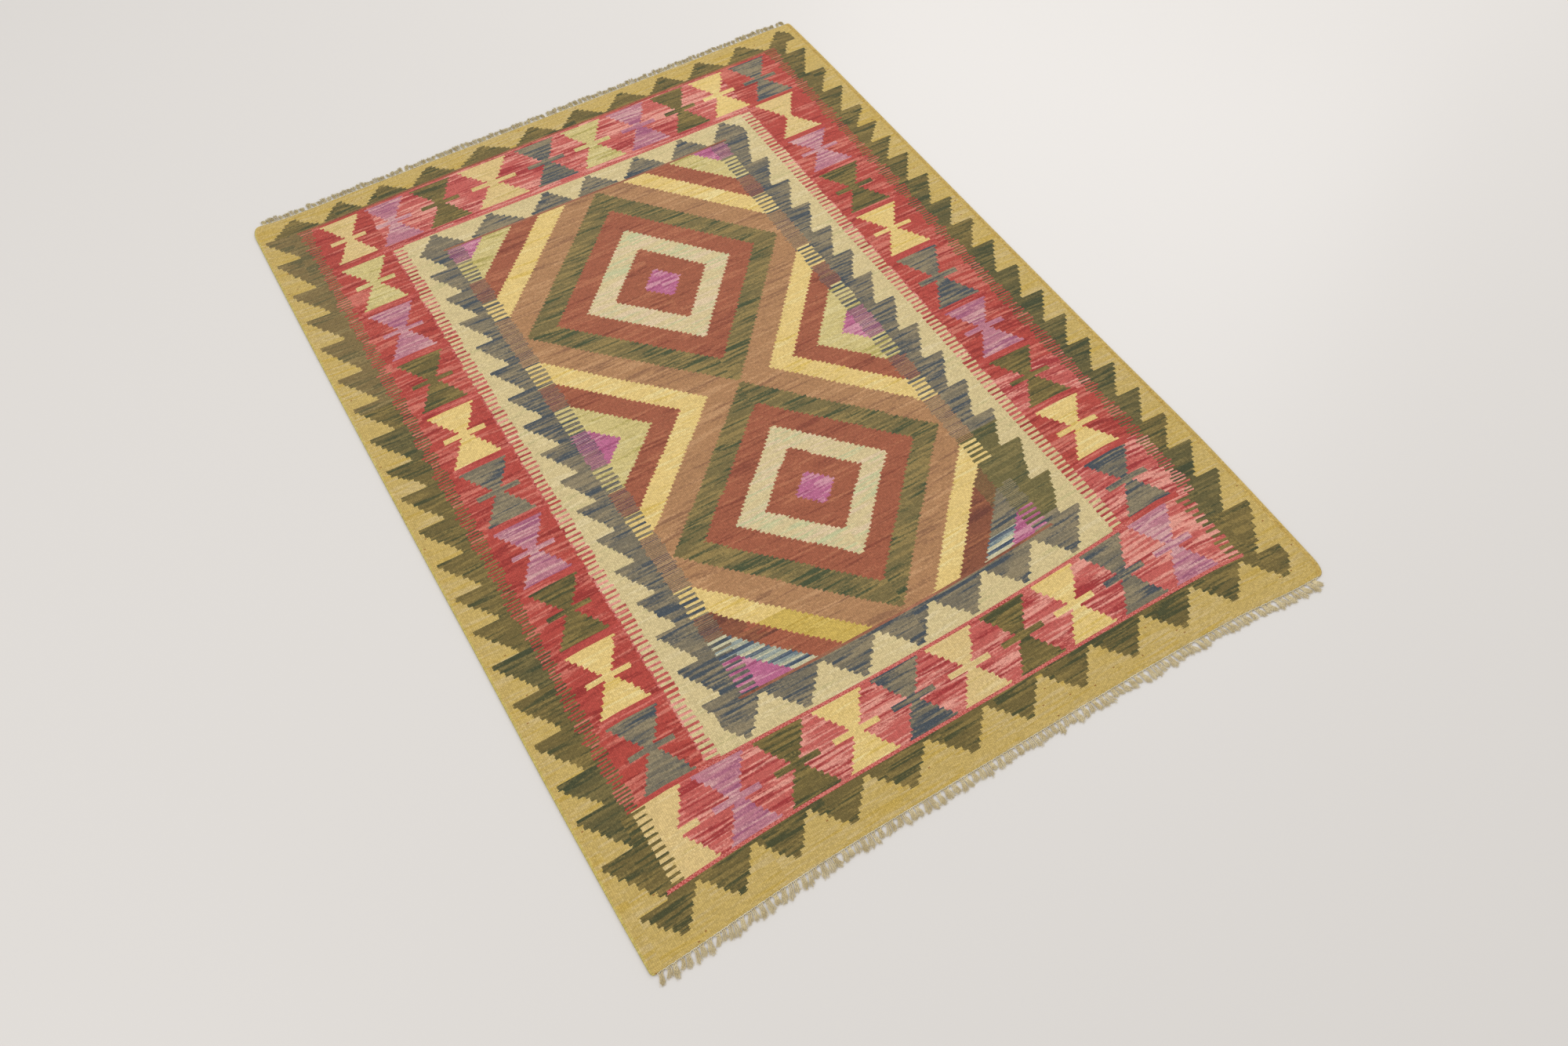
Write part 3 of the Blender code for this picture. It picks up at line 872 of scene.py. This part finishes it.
def tubeMesh(name, paths, radii, sides, material):
    # One object of many round tubes. paths is (tubes, stations, 3), radii (tubes, stations). Each
    # ring lies in the plane of the path's side vector and its upward vector; tips are closed.
    ahead = np.gradient(paths, axis=1)
    ahead /= np.linalg.norm(ahead, axis=2, keepdims=True) + 1e-12
    sideways = np.cross(ahead, [0.0, 0.0, 1.0])
    sideways /= np.linalg.norm(sideways, axis=2, keepdims=True) + 1e-12
    upward = np.cross(sideways, ahead)
    angle = np.arange(sides) * 2 * math.pi / sides
    ring = (sideways[:, :, None] * np.cos(angle)[:, None] + upward[:, :, None] * np.sin(angle)[:, None])
    points = paths[:, :, None] + ring * radii[:, :, None, None]
    number = np.arange(radii.size * sides).reshape(*radii.shape, sides)
    turned = np.roll(number, -1, axis=2)
    walls = np.stack([number[:, :-1], turned[:, :-1], turned[:, 1:], number[:, 1:]], -1).reshape(-1, 4)
    faces = walls.tolist() + number[:, 0, ::-1].tolist() + number[:, -1].tolist()
    return newMesh(name, points.reshape(-1, 3), faces, material)


def endLine(end, x):
    # Plan y of a woven end at x, in the CAD's place.
    across = np.linspace(0, 1, 600)
    lineX, lineY = clothPlan(across, np.full_like(across, clothEnds[end]["along"]))
    return np.interp(x, lineX + shiftX, lineY + shiftY)


def buildFringe(end, material):
    # Every warp leaves the cloth at its own place, is drawn to its tuft's root, and fans out along
    # the tuft's lean and curl; the tuft's outer warps are cut shorter. A warp is a bundle of
    # fibres wound on a helix that opens towards the cut tip, and lies down onto the floor.
    first = cornerX("left", end) + fringe["stripInset"]
    last = cornerX("right", end) - fringe["stripInset"]
    tufts = layTufts(end, first, last)
    draw = np.random.default_rng(fringe[end]["seed"])
    rootX = np.arange(first + fringe["warpFrom"], last - fringe["warpTo"], fringe["warp"])
    middles = np.array([tuft["middle"] for tuft in tufts])
    owner = np.searchsorted((middles[1:] + middles[:-1]) / 2, rootX)
    counts = np.bincount(owner, minlength=len(tufts))
    rank = np.arange(len(rootX)) - np.concatenate([[0], np.cumsum(counts)[:-1]])[owner]
    place = (rank + 0.5) / counts[owner] - 0.5

    # one row for each fibre of each warp
    fibres = fringe["fibres"]
    column = (len(rootX) * fibres, 1)
    size = {key: np.repeat(np.array([tuft[key] for tuft in tufts])[owner], fibres)[:, None]
            for key in tufts[0]}
    rootX, place = np.repeat(rootX, fibres)[:, None], np.repeat(place, fibres)[:, None]
    length = size["length"] * (1.0 - fringe["rounding"] * (2 * place) ** 2)
    length = length * draw.uniform(*fringe["cut"], column)
    t = np.linspace(0, 1, fringe["stations"])[None, :]
    distance = t * (fringe["stripDepth"] + fringe["gap"] + length + fringe["inside"]) - fringe["inside"]
    gather = np.clip(distance / fringe["gathered"], 0, 1)
    gather = gather * gather * (3 - 2 * gather)
    beyond = np.clip(distance - fringe["stripDepth"], 0, None)
    share = beyond / length
    middle = size["middle"] + size["lean"] * beyond + size["curl"] * beyond * share
    target = middle + place * size["width"] * (1 + size["fan"] * share)
    x = rootX + (target - rootX) * gather + draw.normal(0, fringe["stray"], column) * share ** 1.5
    y = endLine(end, x + shiftX) + clothEnds[end]["out"] * distance
    lift = np.abs(draw.normal(0, fringe["lift"], column)) * np.sin(math.pi * share)
    z = fringe["height"] - fringe["settle"] * gather + lift
    angle = draw.uniform(0, 2 * math.pi, column) + distance * (2 * math.pi / fringe["twist"])
    radius = fringe["bundle"] * np.sqrt(draw.uniform(*fringe["bundleFill"], column))
    radius = radius * (1 + fringe["opening"] * share ** 2 * draw.uniform(*fringe["openingDraw"], column))
    radii = fringe["fibreRadius"] * (1 - fringe["taper"] * t ** 3) * draw.uniform(*fringe["uneven"], column)
    z = np.maximum(z + np.sin(angle) * radius * fringe["flattened"], radii + fringe["offFloor"])
    paths = np.stack([x + shiftX + np.cos(angle) * radius, y, z], -1)
    return tubeMesh("fringe" + end.title(), paths, radii, fringe["sides"], material)


locking = {
    "inset": 0.004, "step": 0.0011, "out": 0.0001, "sway": 0.00025, "swayPitch": 0.0104,
    "height": 0.0019, "dip": 0.0004, "dipPitch": 0.0052,
    "ply": 0.0003, "plyPitch": 0.0044, "radius": 0.00034, "sides": 5,
}


def buildLockingThread(end, material):
    # A two-ply thread laid along the last pick, dipping between the warp groups as a sine.
    first, last = cornerX("left", end) + locking["inset"], cornerX("right", end) - locking["inset"]
    x = np.arange(first, last, locking["step"])
    sway = locking["out"] + locking["sway"] * np.sin(x * 2 * math.pi / locking["swayPitch"])
    y = endLine(end, x + shiftX) + clothEnds[end]["out"] * sway
    z = locking["height"] + locking["dip"] * np.cos(x * 2 * math.pi / locking["dipPitch"])
    centre = np.stack([x + shiftX, y, z], -1)
    turn = x * 2 * math.pi / locking["plyPitch"]
    around = [np.stack([np.zeros_like(x), np.cos(turn + phase) * locking["ply"],
                        np.sin(turn + phase) * locking["ply"]], -1) for phase in (0.0, math.pi)]
    paths = centre + np.stack(around)
    radii = np.full(paths.shape[:2], locking["radius"])
    return tubeMesh("locking" + end.title(), paths, radii, locking["sides"], material)


studio = {
    "floorFinish": {"Base Color": shade((224, 220, 216)), "Roughness": 0.32, "Specular IOR Level": 0.35},
    "floorReach": 40.0, "floorDrop": 0.0003,
    "lens": 29.421, "sensor": 36.0, "roll": -0.797,
    "nearLeft": (-0.516, 0.0037),       # the cloth's near-left corner: x, and in from its box's near side
    "fromCorner": (-0.0485, -0.4008, 1.5034),
    "aimFromCorner": (0.4468, 0.4486, 0.0),
    "room": {"Color": (1.0, 0.995, 0.985, 1.0), "Strength": 0.70},
    "lights": {"softRight": ((2.2, 1.6, 2.6), 44), "softLeft": ((-2.4, -0.4, 2.8), 25)},    # place, watts
    "lightSize": 2.4,
}


def buildStudio():
    # The camera, turned about its own axis by the roll, a plain floor, a pale room and two lights.
    scene = bpy.context.scene
    scene.view_settings.view_transform = "Standard"
    scene.view_settings.look = "None"
    corner = Vector((studio["nearLeft"][0], low.y + studio["nearLeft"][1], 0.0))
    camera = bpy.data.objects.new("camera", bpy.data.cameras.new("camera"))
    camera.data.lens = studio["lens"]
    camera.data.sensor_width = studio["sensor"]
    camera.location = corner + Vector(studio["fromCorner"])
    ahead = corner + Vector(studio["aimFromCorner"]) - camera.location
    turn = ahead.to_track_quat("-Z", "Y") @ Quaternion((0, 0, 1), math.radians(studio["roll"]))
    camera.rotation_euler = turn.to_euler()
    scene.collection.objects.link(camera)
    scene.camera = camera

    floorMaterial = newMaterial("paleFloor", studio["floorFinish"])[0]
    square = np.array([(-1, -1), (1, -1), (1, 1), (-1, 1)]) * studio["floorReach"]
    corners = np.column_stack([square, np.full(4, -studio["floorDrop"])])
    newMesh("floor", corners, [[0, 1, 2, 3]], floorMaterial)

    world = bpy.data.worlds.new("paleRoom")
    world.use_nodes = True
    for socket, value in studio["room"].items():
        world.node_tree.nodes["Background"].inputs[socket].default_value = value
    scene.world = world
    for name, (place, watts) in studio["lights"].items():
        light = bpy.data.objects.new(name, bpy.data.lights.new(name, "AREA"))
        light.data.size = studio["lightSize"]
        light.data.energy = watts
        light.location = place
        light.rotation_euler = (-Vector(place)).to_track_quat("-Z", "Y").to_euler()
        scene.collection.objects.link(light)


buildStudio()
print("camera, floor and lights are in place")

wool = woolMaterial()
print("wool material has", len(wool.node_tree.nodes), "nodes")
clothPiece = buildCloth(wool)
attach(clothPiece, "root")
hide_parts("rug_cloth")
print("cloth woven")

# the same warp yarn at both ends, as two copies: the far one darker
warpEndCopies = {
    "near": yarnMaterial("warpEndsNear", (243, 228, 188), (220, 201, 154)),
    "far": yarnMaterial("warpEndsFar", (222, 207, 160), (194, 175, 126)),
}
threadFinish = yarnMaterial("lockingThread", (234, 228, 208), (206, 196, 166))
for end, node in (("near", "fringe_near"), ("far", "fringe_far")):
    tuftPiece = buildFringe(end, warpEndCopies[end])
    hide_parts(node)
    threadPiece = buildLockingThread(end, threadFinish)
    for piece in (tuftPiece, threadPiece):
        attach(piece, "root")
    print(end, "fringe tied")
